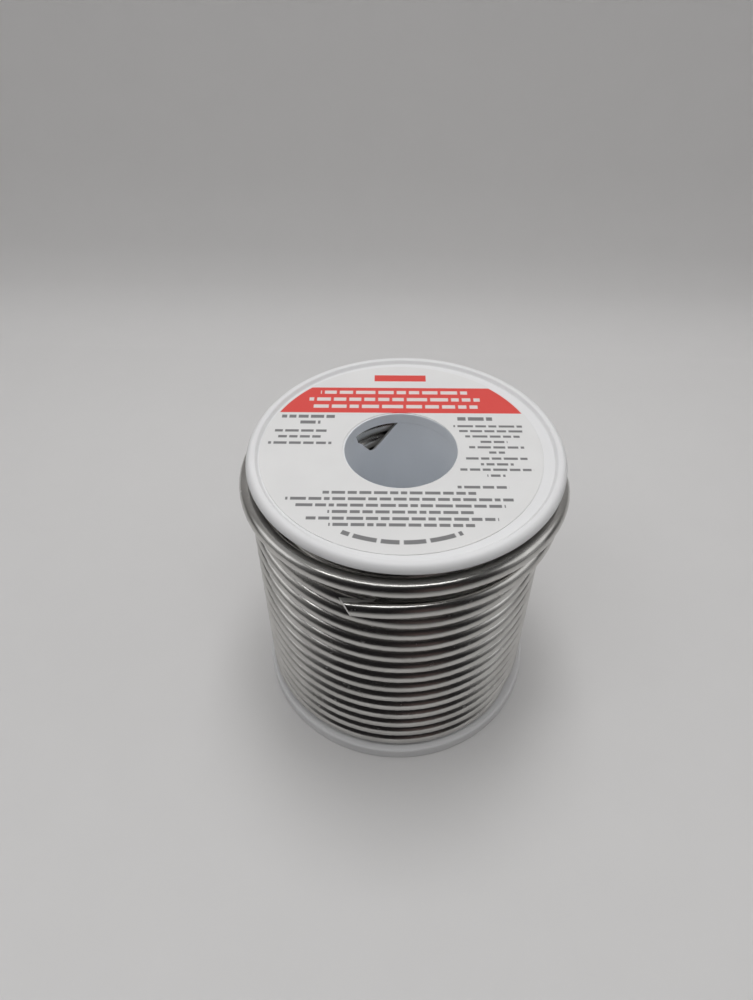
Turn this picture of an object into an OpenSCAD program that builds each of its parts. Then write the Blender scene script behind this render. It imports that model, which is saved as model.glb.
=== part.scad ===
// Solder wire spool: two moulded flanges welded to a hub barrel, two round
// paper labels, and one length of thick wire wound in five layers.
// Origin: in the resting plane, under the upper rim's centre. +Z runs along the spool.
// The turns run clockwise, seen from above, and climb to the upper flange.

/* [Spool] */
// Outside diameter of both flanges
flange_d = 53; // [48:0.5:70]
// Overall height, from rim crest to rim crest
spool_h = 56; // [44:0.5:90]
// Thickness of a flange, from its rim crest to its inner face
flange_t = 2.65; // [2.4:0.05:4]
// Diameter of the spindle bore
bore_d = 18.7; // [12:0.1:22]
// Bevel at the outer mouths of the bore
bore_bevel = 0.3; // [0.1:0.05:0.5]
// How far the hub, with the lower flange, bore and labels, sits off the upper rim's centre, towards -X
hub_shift = 0.8; // [0:0.05:0.9]

/* [Rim] */
// Width of the raised rim, from the flange's edge to the foot of its inner slope
rim_w = 2.2; // [2:0.1:3.5]
// Height of the rim over the label recess
rim_h = 0.65; // [0.4:0.05:0.9]
// Width of the upper rim's flat crest
rim_land = 0.4; // [0.2:0.1:0.8]
// Width of the upper rim's outer rounding
rim_round_w = 1.15; // [0.6:0.05:1.2]
// Height of the upper rim's outer rounding
rim_round_h = 1.75; // [0.8:0.05:1.8]
// Thickness of the upper flange at its edge, from the rim crest to its sharp lower edge
edge_t = 1.35; // [1.2:0.05:1.6]
// Width over which the upper flange's underside thins towards that edge
edge_taper = 3.6; // [2:0.1:5]
// Bevel at that sharp edge
rim_bevel = 0.1; // [0.05:0.05:0.4]
// Rounding of the lower flange's upper edge
edge_round = 0.45; // [0.2:0.05:0.6]
// Rounding of the lower flange's lower edge
foot_round = 0.3; // [0.1:0.05:0.5]

/* [Hub barrel] */
// Wall of the barrel between the flanges
barrel_wall = 1.2; // [1.1:0.05:2]
// Height of the tongue at each end of the barrel
tongue_h = 1; // [0.6:0.1:1.2]
// Thickness of the tongue
tongue_t = 0.55; // [0.4:0.05:0.6]
// Clearance round the tongue in the flange's groove
tongue_clear = 0.05; // [0.03:0.01:0.1]

/* [Starting slot] */
// Width of the slot along its straight upper edge
slot_w = 8.3; // [6:0.1:10]
// Depth of the slot below the upper flange
slot_h = 5.15; // [4:0.05:6]
// Slope of its two long flanks from level
slot_flank = 51.5; // [48:0.5:56]
// Radius of its lowest corner
slot_round = 0.95; // [0.4:0.05:1.2]
// Lean of the short edge at its blunt corner
slot_lean = 0.5; // [0.2:0.1:0.8]
// Direction that the slot faces, counterclockwise from +X
slot_angle = 120.8; // [0:0.1:360]

/* [Labels] */
// Thickness of the label paper
label_t = 0.12; // [0.1:0.01:0.25]
// Free margin between the label and the foot of the rim, where it is narrowest
label_margin = 0.1; // [0.05:0.05:1]
// Free ring between the label's hole and the bore
label_hole_margin = 0.4; // [0.35:0.05:1]
// How far the upper label's hole sits off the bore's centre, towards -X
label_hole_shift = 0.2; // [0:0.05:0.3]

/* [Wire] */
// Diameter of the wire
wire_d = 2.97; // [2.8:0.01:3.1]
// Room between neighbouring turns of the real winding
turn_slack = 0.05; // [0:0.01:0.1]
// Gap drawn between neighbouring turns of the outer layer
turn_gap = 0.47; // [0.46:0.01:0.6]
// How far the outer layer stays inside the flange's edge
winding_inset = 0.8; // [0.6:0.05:1.2]
// How far the outer layer sits off the upper rim's centre, towards -X
winding_shift = 1; // [0.8:0.05:1.2]
// Part of a turn that lies ahead of the front when the outer layer starts
start_lead = 0.12; // [0.05:0.01:0.3]
// Room between the drawn core and the pieces round it
core_clear = 0.1; // [0.05:0.01:0.3]

/* [Loose end] */
// Height left free under the upper flange for the loose turns
loose_room = 8.2; // [8.2:0.1:9]
// How far the loose loop hangs out beyond the flange's edge
loop_overhang = 1.33; // [1.2:0.01:1.6]
// How far the loose loop sits off the upper rim's centre, towards -X
loop_shift = 0.2; // [0.1:0.05:0.4]
// Room between the loose loop and the upper flange
loop_clear = 0.1; // [0.05:0.01:0.2]
// Slope of the loose loop, as its drop in a whole turn
loop_drop = 4.6; // [4.2:0.1:5]
// How far the cut end springs outwards
end_spring = 1.9; // [1.7:0.1:2.2]
// How far the topmost turns spread upwards on the left
turn_spread = 2.5; // [1.5:0.1:2.6]
// Direction in which they spread most
spread_angle = 190; // [180:1:200]

/* [Hidden] */
$fn = 120;

flange_r = flange_d / 2;
bore_r = bore_d / 2;
barrel_r = bore_r + barrel_wall;
upper_face = spool_h - flange_t;
inner_h = spool_h - 2 * flange_t;
recess_r = flange_r - rim_w;
crest_outer_r = flange_r - rim_round_w;
crest_inner_r = crest_outer_r - rim_land;
slope_steps = 6;
round_steps = 8;
cut_over = 1;

groove_inner_r = barrel_r - tongue_t - tongue_clear;
groove_outer_r = barrel_r + tongue_clear;
groove_depth = tongue_h + tongue_clear;

slot_tip_depth = slot_h + slot_round / cos(slot_flank) - slot_round;
slot_tip_x = slot_tip_depth / tan(slot_flank) - slot_w / 2;
slot_blunt_x = slot_w / 2 - slot_lean;
slot_blunt_y = (slot_blunt_x - slot_tip_x) * tan(slot_flank) - slot_tip_depth;
slot_round_steps = 6;

label_r = recess_r - hub_shift - label_margin;
label_hole_r = bore_r + label_hole_margin;

// The outer layer is a six-sided tube with one ring every 15 degrees.
tube_sides = 6;
rings_per_turn = 24;
turn_pitch = wire_d + turn_slack;
tube_d = turn_pitch - turn_gap;
turn_r = flange_r - winding_inset - wire_d / 2;
core_r = turn_r * cos(180 / rings_per_turn) - tube_d / 2 - core_clear;
first_z = flange_t + wire_d / 2 + turn_pitch * start_lead;
regular_turns = floor((inner_h - loose_room) / turn_pitch);

// Behind the spool the wire leaves the layer and climbs to the upper flange.
// Places along the wire are counted in turns, from the front of the first one.
loop_r = flange_r + loop_overhang - wire_d / 2;
loop_top_z = upper_face - wire_d / 2 - loop_clear;
lift_start = regular_turns - 0.54;
lift_turns = 0.48;
loop_start = lift_start + lift_turns;
widen_start = regular_turns - 0.36;
widen_turns = 0.12;
spread_turns = 5;
spread_start = regular_turns - 1 - spread_turns;
spread_power = 3;

// One turn later the loop passes outside that climb, sinks, and ends in the tail.
loop_turns = 0.74;
cross_start = 0.42;
cross_turns = 0.34;
cross_drop = 0.775 * wire_d;
cross_angle = 50;
cross_power = 8;
cross_bulge = max(0, turn_pitch + turn_slack - loop_r + turn_r
                     - (winding_shift - loop_shift) * cos(cross_angle));
tail_start = 0.7;
tail_turns = 0.2;
tail_inset = 1;
tail_rise = 0.45;
rise_start = 0.15;
rise_turns = 0.1;
wire_end = regular_turns + 1.053;
ring_count = ceil((wire_end + start_lead) * rings_per_turn);

function smooth(u) = let (v = min(1, max(0, u))) v * v * (3 - 2 * v);
function blend(a, b, u) = a + (b - a) * u;
function unit(v) = v / norm(v);

function turn_angle(t) = -90 - 360 * t;
function facing(t, angle, power) = pow((1 + cos(turn_angle(t) - angle)) / 2, power);
function spread(t) = turn_spread * min(1, max(0, (t - spread_start) / spread_turns))
    * facing(t, spread_angle, spread_power);
function layer_z(t) = first_z + turn_pitch * t + spread(t);
function past_loop(t) = max(0, t - loop_start);
function loop_z(t) = loop_top_z
    - loop_drop * min(past_loop(t), loop_turns)
    - cross_drop * smooth((past_loop(t) - cross_start) / cross_turns)
    + tail_rise * smooth((t - wire_end + rise_start) / rise_turns);
function loose_r(t) = loop_r
    + (past_loop(t) > 0.3 ? cross_bulge * facing(t, cross_angle, cross_power) : 0)
    - tail_inset * smooth((past_loop(t) - tail_start) / tail_turns)
    + end_spring * pow(max(0, t - wire_end + tail_turns) / tail_turns, 2);
function wire_z(t) = blend(layer_z(t), loop_z(t), smooth((t - lift_start) / lift_turns));
function widening(t) = smooth((t - widen_start) / widen_turns);
function wire_point(t) =
    let (r = blend(turn_r, loose_r(t), widening(t)))
    [r * cos(turn_angle(t)) - blend(winding_shift, loop_shift, widening(t)),
     r * sin(turn_angle(t)),
     wire_z(t)];
function wire_heading(t) = unit(wire_point(t + 0.001) - wire_point(t - 0.001));

// One ring of the tube: its corners lie round the wire's heading.
function ring(t, along = 0) =
    let (p = wire_point(t) + along * wire_heading(t),
         h = wire_heading(t),
         out = [cos(turn_angle(t)), sin(turn_angle(t)), 0],
         n = unit(out - (out * h) * h),
         b = cross(h, n))
    [for (k = [0 : tube_sides - 1])
        p + tube_d / 2 * (cos(k * 360 / tube_sides) * n + sin(k * 360 / tube_sides) * b)];

// The least gap that the tube leaves to itself, measured on points of its path.
gap_samples = 48;
gap_window = 4;
gap_points = [for (i = [0 : floor((wire_end + start_lead) * gap_samples)])
    wire_point(i / gap_samples - start_lead)];
gap_list = [for (i = [0 : len(gap_points) - 1], k = [1, 2], d = [-gap_window : gap_window])
    let (j = i + k * gap_samples + d)
    if (j < len(gap_points)) norm(gap_points[i] - gap_points[j]) - tube_d];
echo(least_gap_between_turns_mm = min(gap_list), turns = wire_end + start_lead);

// Both flanges are drawn lying with their rim crest on z = 0.
function rim_slope() = [for (k = [0 : slope_steps]) let (u = k / slope_steps)
    [blend(crest_inner_r, recess_r, u), rim_h * smooth(u)]];
function quarter(r, z, w, h, from, to) = [for (k = [0 : round_steps])
    let (a = blend(from, to, k / round_steps)) [r + w * cos(a), z + h * sin(a)]];

// Half section of the upper flange: a broad rounding, and a thin sharp edge.
module upper_section() {
    edge_angle = asin(max(0, 1 - (edge_t - rim_bevel) / rim_round_h));
    edge_r = crest_outer_r + rim_round_w * cos(edge_angle);
    polygon(concat(
        [[0, flange_t], [flange_r - edge_taper, flange_t], [edge_r - rim_bevel, edge_t]],
        quarter(crest_outer_r, rim_round_h, rim_round_w, -rim_round_h, edge_angle, 90),
        rim_slope(),
        [[0, rim_h]]));
}

// Half section of the lower flange: a plain edge with two small roundings.
module lower_section() {
    polygon(concat(
        [[0, flange_t]],
        quarter(flange_r - edge_round, flange_t - edge_round, edge_round, edge_round, 90, 0),
        quarter(flange_r - foot_round, foot_round, foot_round, -foot_round, 0, 90),
        rim_slope(),
        [[0, rim_h]]));
}

// A flange with its bore; the child is its half section.
module flange(rim_shift) {
    at_hub() difference() {
        translate([rim_shift, 0, 0]) rotate_extrude() children();
        translate([0, 0, -cut_over]) cylinder(h = flange_t + 2 * cut_over, r = bore_r);
        translate([0, 0, rim_h]) cylinder(h = bore_bevel, r1 = bore_r + bore_bevel, r2 = bore_r);
        translate([0, 0, rim_h - cut_over]) cylinder(h = cut_over, r = bore_r + bore_bevel);
        translate([0, 0, flange_t - groove_depth])
            tube_between(groove_inner_r, groove_outer_r, groove_depth + cut_over);
    }
}

module at_hub() {
    translate([-hub_shift, 0, 0]) children();
}

module tube_between(inner_r, outer_r, h) {
    difference() {
        cylinder(h = h, r = outer_r);
        translate([0, 0, -cut_over]) cylinder(h = h + 2 * cut_over, r = inner_r);
    }
}

module lower_flange() {
    color("whitesmoke") flange(0) lower_section();
}

module upper_flange() {
    color("whitesmoke") translate([0, 0, spool_h]) mirror([0, 0, 1])
        flange(hub_shift) upper_section();
}

// Outline of the starting slot: x runs round the barrel, y = 0 is the upper face.
module slot_outline() {
    tip = [for (k = [0 : slot_round_steps])
        let (a = 270 - slot_flank + 2 * slot_flank * k / slot_round_steps)
        [slot_tip_x + slot_round * cos(a),
         slot_round / cos(slot_flank) - slot_tip_depth + slot_round * sin(a)]];
    polygon(concat(
        [[-slot_w / 2, tongue_h + cut_over], [-slot_w / 2, 0]],
        tip,
        [[slot_blunt_x, slot_blunt_y], [slot_w / 2, 0], [slot_w / 2, tongue_h + cut_over]]));
}

module hub_barrel() {
    color("whitesmoke") at_hub() difference() {
        union() {
            translate([0, 0, flange_t]) tube_between(bore_r, barrel_r, inner_h);
            translate([0, 0, flange_t - tongue_h])
                tube_between(barrel_r - tongue_t, barrel_r, inner_h + 2 * tongue_h);
        }
        translate([0, 0, upper_face]) rotate([0, 0, slot_angle]) rotate([90, 0, 90])
            linear_extrude(barrel_r + cut_over) slot_outline();
    }
}

module label(hole_shift = 0) {
    at_hub() difference() {
        cylinder(h = label_t, r = label_r);
        translate([-hole_shift, 0, -cut_over]) cylinder(h = label_t + 2 * cut_over, r = label_hole_r);
    }
}

module bottom_label() {
    color("ivory") translate([0, 0, rim_h - label_t]) label();
}

module top_label() {
    color("ivory") translate([0, 0, spool_h - rim_h]) label(label_hole_shift);
}

// The four inner layers, drawn as one plain ring.
module wire_core() {
    color("silver") difference() {
        translate([-winding_shift, 0, flange_t + core_clear])
            cylinder(h = inner_h - 2 * core_clear, r = core_r);
        at_hub() cylinder(h = spool_h, r = barrel_r + core_clear);
    }
}

// The fifth layer and the loose end, as one unbroken tube with straight ends.
module wire_outer_layer() {
    rings = concat(
        [ring(-start_lead, -tube_d)],
        [for (i = [0 : ring_count]) ring(blend(-start_lead, wire_end, i / ring_count))],
        [ring(wire_end, tube_d)]);
    corners = [for (r = rings, p = r) p];
    last = (len(rings) - 1) * tube_sides;
    sides = [for (i = [0 : len(rings) - 2], k = [0 : tube_sides - 1], half = [0, 1])
        let (a = i * tube_sides + k,
             b = i * tube_sides + (k + 1) % tube_sides)
        half == 0 ? [a, a + tube_sides, b + tube_sides] : [a, b + tube_sides, b]];
    start_cap = [for (k = [1 : tube_sides - 2]) [0, k, k + 1]];
    end_cap = [for (k = [1 : tube_sides - 2]) [last, last + k + 1, last + k]];
    color("silver") polyhedron(points = corners, faces = concat(sides, start_cap, end_cap),
                               convexity = 10);
}

lower_flange();
upper_flange();
hub_barrel();
bottom_label();
top_label();
wire_core();
wire_outer_layer();
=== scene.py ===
import math

import bmesh
import bpy
from mathutils import Euler, Matrix, Vector


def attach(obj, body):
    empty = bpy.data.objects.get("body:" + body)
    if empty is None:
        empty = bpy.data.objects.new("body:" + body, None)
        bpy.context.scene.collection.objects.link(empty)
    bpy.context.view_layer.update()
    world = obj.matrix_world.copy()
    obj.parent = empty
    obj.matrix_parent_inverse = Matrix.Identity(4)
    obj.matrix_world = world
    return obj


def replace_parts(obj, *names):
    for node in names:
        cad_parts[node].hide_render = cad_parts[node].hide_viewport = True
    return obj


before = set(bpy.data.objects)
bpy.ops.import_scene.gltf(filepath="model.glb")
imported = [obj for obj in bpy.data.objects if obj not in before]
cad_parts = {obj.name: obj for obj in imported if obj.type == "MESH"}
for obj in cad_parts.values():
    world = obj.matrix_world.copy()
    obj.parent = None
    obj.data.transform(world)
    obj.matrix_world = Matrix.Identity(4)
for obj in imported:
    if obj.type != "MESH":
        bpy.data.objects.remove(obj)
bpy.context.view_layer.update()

# The view: a hand-held camera looks down at the spool, a little to its left.
# All sizes below are written in millimetres.
MM = 0.001
CAMERA_PLACE = (0, -95.11, 137.15)
SENSOR_W, LENS = 36, 27.18
LOOKS_DOWN, LOOKS_ASIDE, ROLL = 44.59, 2.945, -0.258

camera_data = bpy.data.cameras.new("camera")
camera_data.sensor_width = SENSOR_W
camera_data.lens = LENS
camera = bpy.data.objects.new("camera", camera_data)
camera.location = [part * MM for part in CAMERA_PLACE]
camera.rotation_euler = (
    Euler((math.radians(90 - LOOKS_DOWN), 0, math.radians(LOOKS_ASIDE))).to_matrix()
    @ Matrix.Rotation(math.radians(ROLL), 3, "Z")
).to_euler()
bpy.context.scene.collection.objects.link(camera)
bpy.context.scene.camera = camera
bpy.context.scene.view_settings.view_transform = "Standard"


# The sweep of pale card that the spool stands on: flat in front, bent up
# behind. It isn't part of the spool.
SWEEP_REACH, BEND_START, WALL_TOP = 1500, 112, 330
BENDS = ((24, 60), (45, 75), (150, 84), (600, 90))


class Value:
    """A node's socket in Python arithmetic: each operator adds a Math node."""

    def __init__(self, nodes, socket):
        self.nodes = nodes
        self.socket = socket

    def math(self, operation, first, second=0.5):
        return self.nodes.node("Math", {"operation": operation}, {0: first, 1: second})

    def __add__(self, other):
        return self.math("ADD", self, other)

    def __sub__(self, other):
        return self.math("SUBTRACT", self, other)

    def __rsub__(self, other):
        return self.math("SUBTRACT", other, self)

    def __mul__(self, other):
        return self.math("MULTIPLY", self, other)

    def __truediv__(self, other):
        return self.math("DIVIDE", self, other)

    def __abs__(self):
        return self.math("ABSOLUTE", self)

    __radd__ = __add__
    __rmul__ = __mul__

    def fade(self, low, high):
        """0 at low, 1 at high, with soft shoulders."""
        return self.nodes.node(
            "MapRange",
            {"interpolation_type": "SMOOTHSTEP"},
            {"Value": self, "From Min": low, "From Max": high},
        )


class Nodes:
    """A node tree. node() adds any node: its settings first, then its sockets."""

    def __init__(self, tree):
        self.tree = tree

    def node(self, kind, settings=None, sockets=None, output=None):
        made = self.tree.nodes.new("ShaderNode" + kind)
        for name, value in (settings or {}).items():
            setattr(made, name, value)
        for name, value in (sockets or {}).items():
            if isinstance(name, int):
                socket = made.inputs[name]
            else:
                socket = next(s for s in made.inputs if s.enabled and s.name == name)
            self.join(value, socket)
        if output:
            return Value(self, made.outputs[output])
        return Value(self, next(s for s in made.outputs if s.enabled))

    def join(self, value, socket):
        if isinstance(value, Value):
            self.tree.links.new(value.socket, socket)
        else:
            socket.default_value = value

    def noise(self, place, scale, detail=2.0):
        return self.node("TexNoise", None, {"Vector": place, "Scale": scale, "Detail": detail})

    def blend(self, share, first, second):
        """The colour first where share is 0, and second where it is 1."""
        return self.node(
            "Mix",
            {"data_type": "RGBA"},
            {"Factor": share, "A": self.colour(first), "B": self.colour(second)},
        )

    def colour(self, value):
        return value if isinstance(value, Value) else (*value, 1.0)


class Finish(Nodes):
    """A material with one Principled shader."""

    def __init__(self, name, **constants):
        self.material = bpy.data.materials.new(name)
        self.material.use_nodes = True
        super().__init__(self.material.node_tree)
        self.shader = self.tree.nodes["Principled BSDF"]
        for socket, value in constants.items():
            self.shader.inputs[socket.replace("_", " ")].default_value = value

    def feed(self, **sockets):
        for socket, value in sockets.items():
            self.join(value, self.shader.inputs[socket.replace("_", " ")])

    def place(self):
        return self.node("TexCoord", output="Object")

    def bump(self, height, depth):
        self.feed(
            Normal=self.node("Bump", None, {"Strength": 1.0, "Distance": depth, "Height": height})
        )


def new_object(name, mesh_maker, flat=()):
    """Turns a finished bmesh into a smooth-shaded object with some flat faces."""
    mesh = bpy.data.meshes.new(name)
    for face in mesh_maker.faces:
        face.smooth = True
    for face in flat:
        face.smooth = False
        for edge in face.edges:
            edge.smooth = False
    mesh_maker.to_mesh(mesh)
    mesh_maker.free()
    made = bpy.data.objects.new(name, mesh)
    bpy.context.scene.collection.objects.link(made)
    return made


sweep = bmesh.new()
outline = [(-SWEEP_REACH, 0), (-300, 0), (0, 0), (BEND_START, 0)]
slope = 0
for radius, last_slope in BENDS:
    while slope < last_slope:
        y, z = outline[-1]
        now, after = math.radians(slope), math.radians(slope + 1)
        y += radius * (math.sin(after) - math.sin(now))
        z += radius * (math.cos(now) - math.cos(after))
        outline.append((y, z))
        slope += 1
outline.append((outline[-1][0], WALL_TOP))
corners = [sweep.verts.new((-SWEEP_REACH * MM, y * MM, z * MM)) for y, z in outline]
for first, second in zip(corners, corners[1:]):
    sweep.edges.new((first, second))
moved = bmesh.ops.extrude_edge_only(sweep, edges=sweep.edges[:])["geom"]
bmesh.ops.translate(
    sweep,
    verts=[part for part in moved if isinstance(part, bmesh.types.BMVert)],
    vec=(2 * SWEEP_REACH * MM, 0, 0),
)
bmesh.ops.recalc_face_normals(sweep, faces=sweep.faces[:])
floor = new_object("floor", sweep)
card = Finish("pale_card", Roughness=0.9)
where = card.place()
grain = card.noise(where, 90, 4)
x = card.node("SeparateXYZ", None, {0: where}, "X")
y = card.node("SeparateXYZ", None, {0: where}, "Y")
# Only the camera sees all of the card pale; to other rays its front is darker, a painted shade
# that the metal mirrors.
unseen = 1 - card.node("LightPath", output="Is Camera Ray")
painted_front_shade = 0.6 * y.fade(-0.045, -0.2) + 0.3 * x.fade(-0.02, -0.1) * y.fade(-0.06, -0.13)
pale = card.blend(grain, (0.635, 0.628, 0.624), (0.655, 0.648, 0.644))
card.feed(Base_Color=card.blend(unseen * painted_front_shade, pale, (0.03, 0.03, 0.03)))
floor.data.materials.append(card.material)

# The light: a lamp overhead and one in front, which the metal doesn't mirror, a
# thin strip across the ceiling, a soft panel on each side, and a dim room in
# front, which makes the wire's dark bands.


def lamp(name, place, target, size, glow, turned=0):
    """A flat lamp of the given radiance that faces its target."""
    data = bpy.data.lights.new(name, "AREA")
    data.shape = "RECTANGLE"
    data.size, data.size_y = size[0] * MM, size[1] * MM
    data.energy = glow * math.pi * data.size * data.size_y
    made = bpy.data.objects.new(name, data)
    made.location = Vector(place) * MM
    facing = (Vector(target) - Vector(place)).to_track_quat("-Z", "Y").to_matrix()
    made.rotation_euler = (facing @ Matrix.Rotation(math.radians(turned), 3, "Z")).to_euler()
    bpy.context.scene.collection.objects.link(made)
    return made


MIDDLE = (0, 0, 30)
key = lamp("top_lamp", (0, 60, 460), MIDDLE, (160, 220), 7.6)
lamp("strip_lamp", (-75, -116, 420), (-75, -116, 0), (430, 30), 6, 4)
lamp("left_panel", (-320, -30, 215), MIDDLE, (240, 140), 0.66)
lamp("right_panel", (300, 60, 245), MIDDLE, (360, 160), 0.68)
fill = lamp("front_fill", (0, -230, 450), MIDDLE, (600, 300), 0.8)
key.visible_glossy = fill.visible_glossy = False

room = bpy.data.worlds.new("room")
bpy.context.scene.world = room
room.use_nodes = True
air = Nodes(room.node_tree)
across, back, up = (
    air.node("SeparateXYZ", None, {0: air.node("TexCoord", output="Generated")}, axis)
    for axis in "XYZ"
)
bearing = air.node("Math", {"operation": "ARCTAN2"}, {0: across, 1: 0 - back})
left = bearing.fade(-0.70, -1.55)
right = bearing.fade(0.90, 1.45)
warm_spot = bearing.fade(0.0, 0.3) * bearing.fade(0.75, 0.45) * up.fade(0.8, 0.1)
front = air.blend(warm_spot, (0.013, 0.012, 0.013), (0.10, 0.072, 0.068))
front = air.blend(up.fade(0.83, 0.98), front, (0.19, 0.19, 0.19))
left_wall = air.blend(up.fade(0.75, 0.95), (0.38, 0.38, 0.38), (0.24, 0.24, 0.24))
right_wall = air.blend(up.fade(0.7, 0.83), (0.36, 0.36, 0.36), (0.07, 0.07, 0.07))
light = air.blend(right, air.blend(left, front, left_wall), right_wall)
seen = air.node("LightPath", output="Is Camera Ray")
sky = air.blend(seen, light, (0.34, 0.335, 0.33))
air.join(sky, room.node_tree.nodes["Background"].inputs["Color"])

# The two flanges: white plastic discs with a shallow recess for the label. The
# upper one has a broad rounding and a thin sharp edge, the lower one a plain edge.
FLANGE_R, FLANGE_T, SPOOL_H = 26.5, 2.65, 56
BORE_R, BORE_BEVEL, HUB_SHIFT = 9.35, 0.12, 0.8
RIM_W, RIM_H, RIM_LAND = 2.2, 0.65, 0.4
ROUND_W, ROUND_H = 1.15, 1.75
EDGE_T, EDGE_TAPER = 1.35, 3.6
EDGE_ROUND, FOOT_ROUND = 0.45, 0.3
HOLD = 0.1
HOLE_REACH = 12
# Between these radii the bore's wall fades to its painted light: a lighter, bluer white.
BORE_LIGHT_FROM, BORE_LIGHT_TO = BORE_R + 0.11, BORE_R + 0.05
ROUND_STEPS, SLOPE_STEPS = 192, 8


def arc(centre, size, start, end, steps):
    """Points of an elliptical arc; angles in degrees."""
    points = []
    for step in range(steps + 1):
        turn = math.radians(start + (end - start) * step / steps)
        points.append(
            (centre[0] + size[0] * math.cos(turn), centre[1] + size[1] * math.sin(turn))
        )
    return points


def lathe(maker, outline, steps):
    """Spins a closed outline of (radius, height) about the spool's axis."""
    corners = [maker.verts.new((r * MM, 0, z * MM)) for r, z in outline]
    for first, second in zip(corners, corners[1:] + corners[:1]):
        maker.edges.new((first, second))
    bmesh.ops.spin(
        maker,
        geom=maker.verts[:] + maker.edges[:],
        cent=(0, 0, 0),
        axis=(0, 0, 1),
        angle=math.tau,
        steps=steps,
        use_merge=True,
    )
    bmesh.ops.remove_doubles(maker, verts=maker.verts[:], dist=1e-7)
    bmesh.ops.recalc_face_normals(maker, faces=maker.faces[:])


def flange_outline(edge):
    """Half section of a flange whose rim crest lies on height 0.

    Next to each sharp corner an extra one, HOLD away, keeps its shading crisp."""
    crest_inner = FLANGE_R - ROUND_W - RIM_LAND
    foot = FLANGE_R - RIM_W
    slope = []
    for step in range(SLOPE_STEPS + 1):
        u = step / SLOPE_STEPS
        slope.append((crest_inner + (foot - crest_inner) * u, RIM_H * u * u * (3 - 2 * u)))
    return (
        [(BORE_R, FLANGE_T), (BORE_R + HOLD, FLANGE_T)]
        + edge
        + slope
        + [(foot - 0.08, RIM_H), (BORE_R + BORE_BEVEL + HOLD, RIM_H)]
        + arc(
            (BORE_R + BORE_BEVEL, RIM_H + BORE_BEVEL), (-BORE_BEVEL, -BORE_BEVEL), 90, 0, 5
        )
        + [(BORE_R, RIM_H + BORE_BEVEL + HOLD), (BORE_R, FLANGE_T - HOLD)]
    )


sharp_turn = math.degrees(math.asin(1 - EDGE_T / ROUND_H))
sharp_r = FLANGE_R - ROUND_W + ROUND_W * math.cos(math.radians(sharp_turn))
thin_edge = (
    [(FLANGE_R - EDGE_TAPER - 0.2, FLANGE_T), (FLANGE_R - EDGE_TAPER, FLANGE_T - 0.02)]
    + [(sharp_r - HOLD, EDGE_T + 0.03), (sharp_r - 0.02, EDGE_T)]
    + arc((FLANGE_R - ROUND_W, ROUND_H), (ROUND_W, -ROUND_H), sharp_turn + 1, 90, 14)
)
plain_edge = (
    [(FLANGE_R - EDGE_ROUND - HOLD, FLANGE_T)]
    + arc(
        (FLANGE_R - EDGE_ROUND, FLANGE_T - EDGE_ROUND), (EDGE_ROUND, EDGE_ROUND), 90, 0, 7
    )
    + [(FLANGE_R, FLANGE_T - EDGE_ROUND - HOLD), (FLANGE_R, FOOT_ROUND + HOLD)]
    + arc((FLANGE_R - FOOT_ROUND, FOOT_ROUND), (FOOT_ROUND, -FOOT_ROUND), 0, 90, 5)
)

plastic = Finish("white_moulded_plastic", IOR=1.52)
where = plastic.place()
cloud = plastic.noise(where, 60, 3)
speck = plastic.noise(where, 900, 3)
x = plastic.node("SeparateXYZ", None, {0: where}, "X") + HUB_SHIFT * MM
y = plastic.node("SeparateXYZ", None, {0: where}, "Y")
# The bore's wall is painted lighter and bluer than the white outside: painted light, for the cold
# bounced light inside the bore.
bore_painted_light = (x * x + y * y).fade((BORE_LIGHT_FROM * MM) ** 2, (BORE_LIGHT_TO * MM) ** 2)
white = plastic.blend(cloud.fade(0.3, 0.7), (0.70, 0.70, 0.705), (0.73, 0.73, 0.735))
plastic.feed(
    Base_Color=plastic.blend(bore_painted_light, white, (0.84, 0.87, 0.91)),
    Roughness=0.4 + 0.12 * speck,
)
plastic.bump(speck, 0.006 * MM)


def shift_hole(maker, shift):
    """Slides the corners near the axis towards -X: the hole is off centre."""
    inner = [c for c in maker.verts if math.hypot(c.co.x, c.co.y) < HOLE_REACH * MM]
    bmesh.ops.translate(maker, verts=inner, vec=(-shift * MM, 0, 0))


def flange(name, maker):
    made = new_object(name, maker)
    made.data.materials.append(plastic.material)
    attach(made, "root")
    return made


maker = bmesh.new()
lathe(maker, flange_outline(plain_edge), ROUND_STEPS)
bmesh.ops.translate(maker, verts=maker.verts[:], vec=(-HUB_SHIFT * MM, 0, 0))
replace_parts(flange("moulded_lower_flange", maker), "lower_flange")

maker = bmesh.new()
lathe(maker, flange_outline(thin_edge), ROUND_STEPS)
shift_hole(maker, HUB_SHIFT)
bmesh.ops.scale(maker, verts=maker.verts[:], vec=(1, 1, -1))
bmesh.ops.translate(maker, verts=maker.verts[:], vec=(0, 0, SPOOL_H * MM))
bmesh.ops.recalc_face_normals(maker, faces=maker.faces[:])
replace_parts(flange("moulded_upper_flange", maker), "upper_flange")

# The hub barrel: a thin plastic tube with a tongue at each end, let into the
# flanges. Through the notch in its upper end the wire's start was pushed.
BARREL_R, TONGUE_R, TONGUE_H = 10.55, 10.0, 1.0
UPPER_FACE = SPOOL_H - FLANGE_T
SLOT_TURN, SLOT_FLANK = 120.8, 51.5
SLOT_FLARE, SLOT_MIDDLE = 0.28, (0.3, -1.8)
CUTTER_FROM, CUTTER_TO = 7, 12.5
SLOT_HALF_W, SLOT_ABOVE = 4.15, 3
SLOT_TIP, SLOT_TIP_R, SLOT_BLUNT = (0.405, -4.2), 0.95, (3.65, -1.65)
slot_outline = (
    [(-SLOT_HALF_W, SLOT_ABOVE), (-SLOT_HALF_W, 0)]
    + arc(SLOT_TIP, (SLOT_TIP_R, SLOT_TIP_R), 270 - SLOT_FLANK, 270 + SLOT_FLANK, 8)
    + [SLOT_BLUNT, (SLOT_HALF_W, 0), (SLOT_HALF_W, SLOT_ABOVE)]
)

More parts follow.
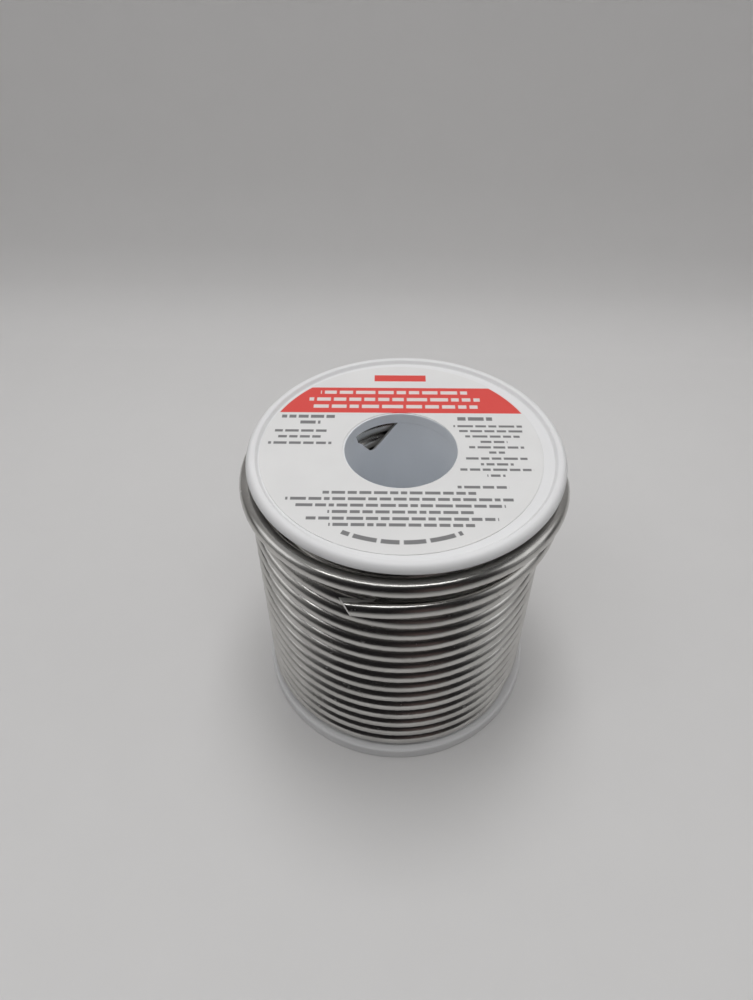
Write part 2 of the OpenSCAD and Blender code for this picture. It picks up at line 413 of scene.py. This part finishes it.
maker = bmesh.new()
lathe(
    maker,
    [
        (BORE_R, FLANGE_T),
        (TONGUE_R, FLANGE_T),
        (TONGUE_R, FLANGE_T - TONGUE_H),
        (BARREL_R, FLANGE_T - TONGUE_H),
        (BARREL_R, UPPER_FACE + TONGUE_H),
        (TONGUE_R, UPPER_FACE + TONGUE_H),
        (TONGUE_R, UPPER_FACE),
        (BORE_R, UPPER_FACE),
    ],
    ROUND_STEPS,
)
bmesh.ops.translate(maker, verts=maker.verts[:], vec=(-HUB_SHIFT * MM, 0, 0))
barrel = new_object("moulded_hub_barrel", maker)

cutter = bmesh.new()
face = cutter.faces.new([cutter.verts.new((CUTTER_FROM, y, z)) for y, z in slot_outline])
moved = bmesh.ops.extrude_face_region(cutter, geom=[face])["geom"]
outer = [part for part in moved if isinstance(part, bmesh.types.BMVert)]
bmesh.ops.translate(cutter, verts=outer, vec=(CUTTER_TO - CUTTER_FROM, 0, 0))
for corner in cutter.verts:
    wider = 1 + SLOT_FLARE * (corner.co.x - math.sqrt(BORE_R**2 - corner.co.y**2))
    corner.co.y = SLOT_MIDDLE[0] + (corner.co.y - SLOT_MIDDLE[0]) * wider
    corner.co.z = SLOT_MIDDLE[1] + (corner.co.z - SLOT_MIDDLE[1]) * wider
bmesh.ops.recalc_face_normals(cutter, faces=cutter.faces[:])
bmesh.ops.transform(
    cutter,
    matrix=Matrix.Translation((-HUB_SHIFT * MM, 0, UPPER_FACE * MM))
    @ Matrix.Rotation(math.radians(SLOT_TURN), 4, "Z")
    @ Matrix.Scale(MM, 4),
    verts=cutter.verts[:],
)
notch = new_object("notch_cutter", cutter)
cut = barrel.modifiers.new("notch", "BOOLEAN")
cut.solver = "EXACT"
cut.object = notch
notched = bpy.data.meshes.new_from_object(
    barrel.evaluated_get(bpy.context.evaluated_depsgraph_get())
)
barrel.modifiers.clear()
barrel.data = notched
bpy.data.objects.remove(notch)
notched.set_sharp_from_angle(angle=math.radians(25))
barrel.data.materials.append(plastic.material)
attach(barrel, "root")
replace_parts(barrel, "hub_barrel")

# The labels: discs of coated paper stuck in the recesses. The upper one has a
# red band and rows of print, kept as plain bars that spell nothing.
LABEL_T, LABEL_R, LABEL_HOLE_R = 0.12, 23.4, 9.53
LABEL_HOLE_SHIFT = 0.15
LABEL_EDGE = 0.03
PRINT_TURN, INK_EDGE = 1.9, 0.06
CURVE_R, BAND_R = 21.0, 23.1
BAND, HEADING = (0, 13.1, 60, 7.3), (0, 19.7, 9.4, 1.9)


def label(name, bottom, hole_shift, finish):
    maker = bmesh.new()
    lathe(
        maker,
        [
            (LABEL_HOLE_R, bottom),
            (LABEL_HOLE_R, bottom + LABEL_T - LABEL_EDGE),
            (LABEL_HOLE_R + LABEL_EDGE, bottom + LABEL_T),
            (LABEL_HOLE_R + 3 * LABEL_EDGE, bottom + LABEL_T),
            (LABEL_R - 3 * LABEL_EDGE, bottom + LABEL_T),
            (LABEL_R - LABEL_EDGE, bottom + LABEL_T),
            (LABEL_R, bottom + LABEL_T - LABEL_EDGE),
            (LABEL_R, bottom),
        ],
        160,
    )
    shift_hole(maker, hole_shift)
    bmesh.ops.translate(maker, verts=maker.verts[:], vec=(-HUB_SHIFT * MM, 0, 0))
    made = new_object(name, maker)
    made.data.materials.append(finish.material)
    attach(made, "root")
    return made


def paper(name):
    """Coated white paper; returns it with its place and its bare colour."""
    made = Finish(name, IOR=1.45)
    where = made.place()
    fibre = made.noise(where, 1500, 4)
    made.bump(fibre, 0.004 * MM)
    bare = made.blend(
        made.noise(where, 120, 3).fade(0.3, 0.7), (0.675, 0.672, 0.668), (0.70, 0.697, 0.692)
    )
    return made, where, fibre, bare


plain_paper, _, fibre, bare = paper("plain_label_paper")
plain_paper.feed(Base_Color=bare, Roughness=0.5 + 0.15 * fibre)
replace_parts(label("lower_paper_label", RIM_H - LABEL_T, 0, plain_paper), "bottom_label")

printed, where, fibre, bare = paper("printed_label_paper")
turned = printed.node(
    "Mapping",
    {"vector_type": "TEXTURE"},
    {
        "Vector": where,
        "Location": (-HUB_SHIFT * MM, 0, 0),
        "Rotation": (0, 0, math.radians(PRINT_TURN)),
        "Scale": (MM, MM, MM),
    },
)
x = printed.node("SeparateXYZ", None, {0: turned}, "X")
y = printed.node("SeparateXYZ", None, {0: turned}, "Y")
flat_place = printed.node("CombineXYZ", None, {"X": x, "Y": y})
radius = printed.node("VectorMath", {"operation": "LENGTH"}, {0: flat_place}, "Value")


def bar(across, up, centre, middle, width, tall):
    """1 inside a bar of print, 0 outside."""
    inside_width = abs(across - centre).fade(width / 2 + INK_EDGE, width / 2 - INK_EDGE)
    return inside_width * abs(up - middle).fade(tall / 2 + INK_EDGE, tall / 2 - INK_EDGE)


def words(along, length):
    """1 inside the words of a row, 0 in the gaps between them."""
    return printed.node(
        "TexVoronoi",
        {"voronoi_dimensions": "1D", "feature": "DISTANCE_TO_EDGE"},
        {"W": along, "Scale": 1 / length},
    ).fade(0.06, 0.12)


def row(left, right, middle, tall, word):
    """A row of print: one bar with gaps, as between words."""
    gaps = words(x + 40 * middle, word)
    return gaps * bar(x, y, (left + right) / 2, middle, right - left, tall)


def total(masks):
    whole = masks[0]
    for mask in masks[1:]:
        whole = whole + mask
    return whole


band = bar(x, y, *BAND) * radius.fade(BAND_R + 0.05, BAND_R - 0.05)
WHITE_ROWS = [(-14.3, 12, 15.35, 0.95), (-16.2, 14.1, 13.3, 0.95), (-15.3, 13.6, 11.25, 0.95)]
BLACK_ROWS = [
    (-20.6, -11.4, 8.35, 1.05),
    (-17.5, -13.8, 6.75, 1.05),
    (-21.4, -12.6, 4.45, 0.8),
    (-20.7, -13.5, 2.9, 0.8),
    (-22.2, -11.6, 1.25, 0.8),
    (9.8, 15.8, 7.9, 1.2),
    (9.0, 20.7, 5.9, 0.7),
    (9.6, 20.6, 4.6, 0.7),
    (10.5, 20.0, 3.2, 0.7),
    (13.3, 17.8, 1.8, 0.7),
    (11.3, 20.4, 0.4, 0.7),
    (14.5, 17.1, -0.9, 0.7),
    (10.6, 20.9, -2.4, 0.7),
    (12.9, 18.2, -3.8, 0.7),
    (9.5, 21.3, -5.1, 0.7),
    (13.7, 16.6, -6.5, 0.7),
    (8.8, 16.9, -9.2, 0.75),
    (-12.3, 11.6, -10.6, 0.8),
    (-18.0, 17.6, -12.0, 0.8),
    (-16.3, 15.9, -13.4, 0.8),
    (-11.3, 10.9, -14.8, 0.8),
    (-14.8, 14.6, -16.2, 0.8),
    (-11.0, 10.9, -17.5, 0.8),
]
WHITE_WORD, BLACK_WORD, CURVED_WORD = 3.0, 2.2, 3.4
white_rows = total([row(*place, WHITE_WORD) for place in WHITE_ROWS])
black_rows = total(
    [row(start, end, middle, 0.8 * tall, BLACK_WORD) for start, end, middle, tall in BLACK_ROWS]
)
along = printed.node("Math", {"operation": "ARCTAN2"}, {0: x, 1: 0 - y}) * CURVE_R
curved = words(along + 3.0, CURVED_WORD) * bar(along, radius, 0, CURVE_R, 18.5, 0.85)
heading_bar = bar(x, y, *HEADING)
ink = printed.blend(band + heading_bar, bare, (0.66, 0.075, 0.065))
ink = printed.blend(white_rows * band * 0.9, ink, (0.72, 0.70, 0.68))
ink = printed.blend((black_rows + curved) * 0.78, ink, (0.05, 0.05, 0.055))
printed.feed(Base_Color=ink, Roughness=0.46 + 0.15 * fibre - 0.08 * band)
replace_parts(label("upper_paper_label", SPOOL_H - RIM_H, LABEL_HOLE_SHIFT, printed), "top_label")

# The outer layer: thick solder wire in about fourteen turns, then a loose
# turn under the upper flange, a crossing behind, and the tail's cut end.
WIRE_R, PITCH = 1.485, 3.02
TURNS = 14
START, END = -0.34, 15.05
FIRST_Z = FLANGE_T + WIRE_R + PITCH * 0.12
TURN_R, WINDING_SHIFT = 24.215, 1.0
LOOP_R, LOOP_SHIFT, LOOP_TOP = 26.345, 0.2, 51.765
EMERGE_START, EMERGE_TURNS = -0.12, 0.22
INNER_R = 21.165
LIFT_START, LIFT_TURNS = TURNS - 0.54, 0.48
WIDEN_START, WIDEN_TURNS = TURNS - 0.36, 0.12
WIRE_SIDES, RINGS_PER_TURN = 44, 72
SPREAD, SPREAD_TURNS, SPREAD_SIDE = 2.5, 5, 190
LOOP_DROP, LOOP_TURNS = 4.6, 0.74
CROSS_DROP, CROSS_START, CROSS_TURNS = 2.30, 0.42, 0.34
CROSS_BULGE, CROSS_SIDE = 0.42, 50
TAIL_START, TAIL_TURNS, TAIL_INSET = 0.7, 0.2, 1
TAIL_RISE, RISE_START, RISE_TURNS = 0.65, 0.15, 0.1
TAIL_SPRING, SPRING_TURNS, LATE_SPRING_TURNS, SPRING_LIFT = 1.9, 0.3, 0.2, 1.3
SHEARED_TURNS, SHEARED_DEPTH, SHEARED_TILT = 0.042, 0.9, 1.36
CUT_LEAN_UP, CUT_LEAN_AHEAD = 0.765, 0.16


def ease(u):
    """From 0 to 1 while u goes from 0 to 1, with soft ends."""
    u = min(1, max(0, u))
    return u * u * (3 - 2 * u)


def facing_to(azimuth, direction, power):
    """1 on the side that direction points to, 0 opposite; power narrows it."""
    return ((1 + math.cos(azimuth - math.radians(direction))) / 2) ** power


def spring_out(t, turns):
    """How far the tail stands out, over the given number of last turns."""
    return TAIL_SPRING * (max(0, t - END + turns) / turns) ** 2


def wire_point(t):
    """The wire's centre after t turns from the front, in millimetres."""
    azimuth = math.radians(-90 - 360 * t)
    spread = SPREAD * min(1, max(0, (t - (TURNS - 1 - SPREAD_TURNS)) / SPREAD_TURNS))
    spread *= facing_to(azimuth, SPREAD_SIDE, 3)
    layer_z = FIRST_Z + PITCH * max(t, EMERGE_START) + spread
    loose = max(0, t - LIFT_START - LIFT_TURNS)
    loop_z = (
        LOOP_TOP
        - LOOP_DROP * min(loose, LOOP_TURNS)
        - CROSS_DROP * ease((loose - CROSS_START) / CROSS_TURNS)
        + TAIL_RISE * ease((t - END + RISE_START) / RISE_TURNS)
    )
    bulge = CROSS_BULGE * facing_to(azimuth, CROSS_SIDE, 8) if loose > 0.3 else 0
    spring = spring_out(t, SPRING_TURNS)
    loop_z += SPRING_LIFT * (spring - spring_out(t, LATE_SPRING_TURNS))
    loose_r = LOOP_R + bulge - TAIL_INSET * ease((loose - TAIL_START) / TAIL_TURNS) + spring
    lift = ease((t - LIFT_START) / LIFT_TURNS)
    widen = ease((t - WIDEN_START) / WIDEN_TURNS)
    emerge = ease((EMERGE_START - t) / EMERGE_TURNS)
    r = TURN_R + (loose_r - TURN_R) * widen + (INNER_R - TURN_R) * emerge
    shift = WINDING_SHIFT + (LOOP_SHIFT - WINDING_SHIFT) * widen
    return Vector(
        (
            r * math.cos(azimuth) - shift,
            r * math.sin(azimuth),
            layer_z + (loop_z - layer_z) * lift,
        )
    )


def coil(maker, start, end, rings, sides, point, cut=None, sheared_side=None):
    """Rolls a long sheet into a tube whose middle follows point(t).

    The last ring is slanted to the plane that cut is square to, and the last
    stretch is sheared off ever deeper on the side that sheared_side points to.
    Returns the faces of the cuts, which have material 1."""
    maker.loops.layers.uv.new("along_and_round")
    count = round((end - start) * rings)
    bmesh.ops.create_grid(maker, x_segments=count, y_segments=sides, size=1, calc_uvs=True)
    frames, sheared_off = {}, set()
    for corner in maker.verts:
        step = round((corner.co.x + 1) / 2 * count)
        turn = math.pi * corner.co.y
        if step not in frames:
            t = start + (end - start) * step / count
            azimuth = math.radians(-90 - 360 * t)
            out = Vector((math.cos(azimuth), math.sin(azimuth), 0))
            heading = (point(t + 0.001) - point(t - 0.001)).normalized()
            normal = (out - out.dot(heading) * heading).normalized()
            frames[step] = (point(t), normal, heading.cross(normal), heading)
        centre, normal, up, heading = frames[step]
        spoke = WIRE_R * (math.cos(turn) * normal + math.sin(turn) * up)
        if sheared_side:
            depth = SHEARED_DEPTH * max(0, 1 - (count - step) / (SHEARED_TURNS * rings))
            excess = spoke.dot(sheared_side) - WIRE_R + depth
            if depth > 0 and excess > 0:
                spoke -= excess * sheared_side
                sheared_off.add(corner)
        if cut and step == count:
            spoke -= cut.dot(spoke) / cut.dot(heading) * heading
        corner.co = (centre + spoke) * MM
    for face in maker.faces:
        face.material_index = int(sheared_off.issuperset(face.verts))
    bmesh.ops.remove_doubles(maker, verts=maker.verts[:], dist=1e-7)
    open_edges = [edge for edge in maker.edges if edge.is_boundary]
    caps = bmesh.ops.holes_fill(maker, edges=open_edges, sides=0)["faces"]
    for face in caps:
        face.material_index = int(cut is not None)
    bmesh.ops.recalc_face_normals(maker, faces=maker.faces[:])
    return [face for face in maker.faces if face.material_index]


solder = Finish("solder_wire_metal", Metallic=1.0)
lay = solder.node("UVMap", {"uv_map": "along_and_round"})
drawn = solder.noise(
    solder.node("Mapping", None, {"Vector": lay, "Scale": (140.0, 34.0, 1.0)}), 1.0, 3
)
where = solder.place()
tarnish = solder.noise(where, 160, 4)
scuffs = solder.noise(
    solder.node("Mapping", None, {"Vector": lay, "Scale": (900.0, 9.0, 1.0)}), 1.0, 2
).fade(0.68, 0.74)
solder.feed(
    Base_Color=solder.blend(tarnish.fade(0.3, 0.75), (0.60, 0.59, 0.57), (0.51, 0.50, 0.48)),
    Roughness=0.17 + 0.08 * tarnish.fade(0.35, 0.75) + 0.05 * drawn + 0.12 * scuffs,
)
solder.bump(drawn, 0.006 * MM)

sheared = Finish("sheared_solder_metal", Metallic=0.6)
grain = sheared.noise(sheared.place(), 2500, 3)
sheared.feed(
    Base_Color=sheared.blend(grain, (0.72, 0.71, 0.69), (0.82, 0.81, 0.79)),
    Roughness=0.5 + 0.2 * grain,
)
sheared.bump(grain, 0.02 * MM)

maker = bmesh.new()
tail_heading = (wire_point(END) - wire_point(END - 0.002)).normalized()
ahead, above = Vector((0, -0.62, 0.79)), Vector((0, 0.79, 0.62))
slant = tail_heading - tail_heading.dot(ahead) * ahead
slant = slant - CUT_LEAN_UP * above + CUT_LEAN_AHEAD * ahead
side = math.cos(SHEARED_TILT) * ahead + math.sin(SHEARED_TILT) * above
side = (side - side.dot(tail_heading) * tail_heading).normalized()
cuts = coil(
    maker, START, END, RINGS_PER_TURN, WIRE_SIDES, wire_point, slant.normalized(), side
)
wire = new_object("wound_solder_wire", maker, cuts)
wire.data.materials.append(solder.material)
wire.data.materials.append(sheared.material)
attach(wire, "root")
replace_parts(wire, "wire_outer_layer")

# The four inner layers of the same wire, wound to and fro between the
# flanges. They show through the barrel's notch and under the upper flange.
LAYERS, LAYER_STEP = 4, 3.04
INNER_RINGS, INNER_SIDES = 48, 12
low, high = FLANGE_T + WIRE_R + 0.05, SPOOL_H - FLANGE_T - WIRE_R - 0.1
turns = (high - low) / PITCH


def layer_path(layer):
    """The path of one inner layer, as a function of the turns along it."""
    r = BARREL_R + WIRE_R + 0.01 + LAYER_STEP * layer
    shift = HUB_SHIFT + (WINDING_SHIFT - HUB_SHIFT) * layer / LAYERS

    def point(t):
        azimuth = math.radians(-90 - 360 * (t + START - turns))
        z = low + PITCH * t if layer % 2 == 0 else high - PITCH * t
        return Vector((r * math.cos(azimuth) - shift, r * math.sin(azimuth), z))

    return point


maker = bmesh.new()
for layer in range(LAYERS):
    one = bmesh.new()
    coil(one, 0, turns, INNER_RINGS, INNER_SIDES, layer_path(layer))
    mesh = bpy.data.meshes.new("layer")
    one.to_mesh(mesh)
    one.free()
    maker.from_mesh(mesh)
    bpy.data.meshes.remove(mesh)
inner = new_object("inner_wire_layers", maker)
inner.data.materials.append(solder.material)
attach(inner, "root")
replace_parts(inner, "wire_core")
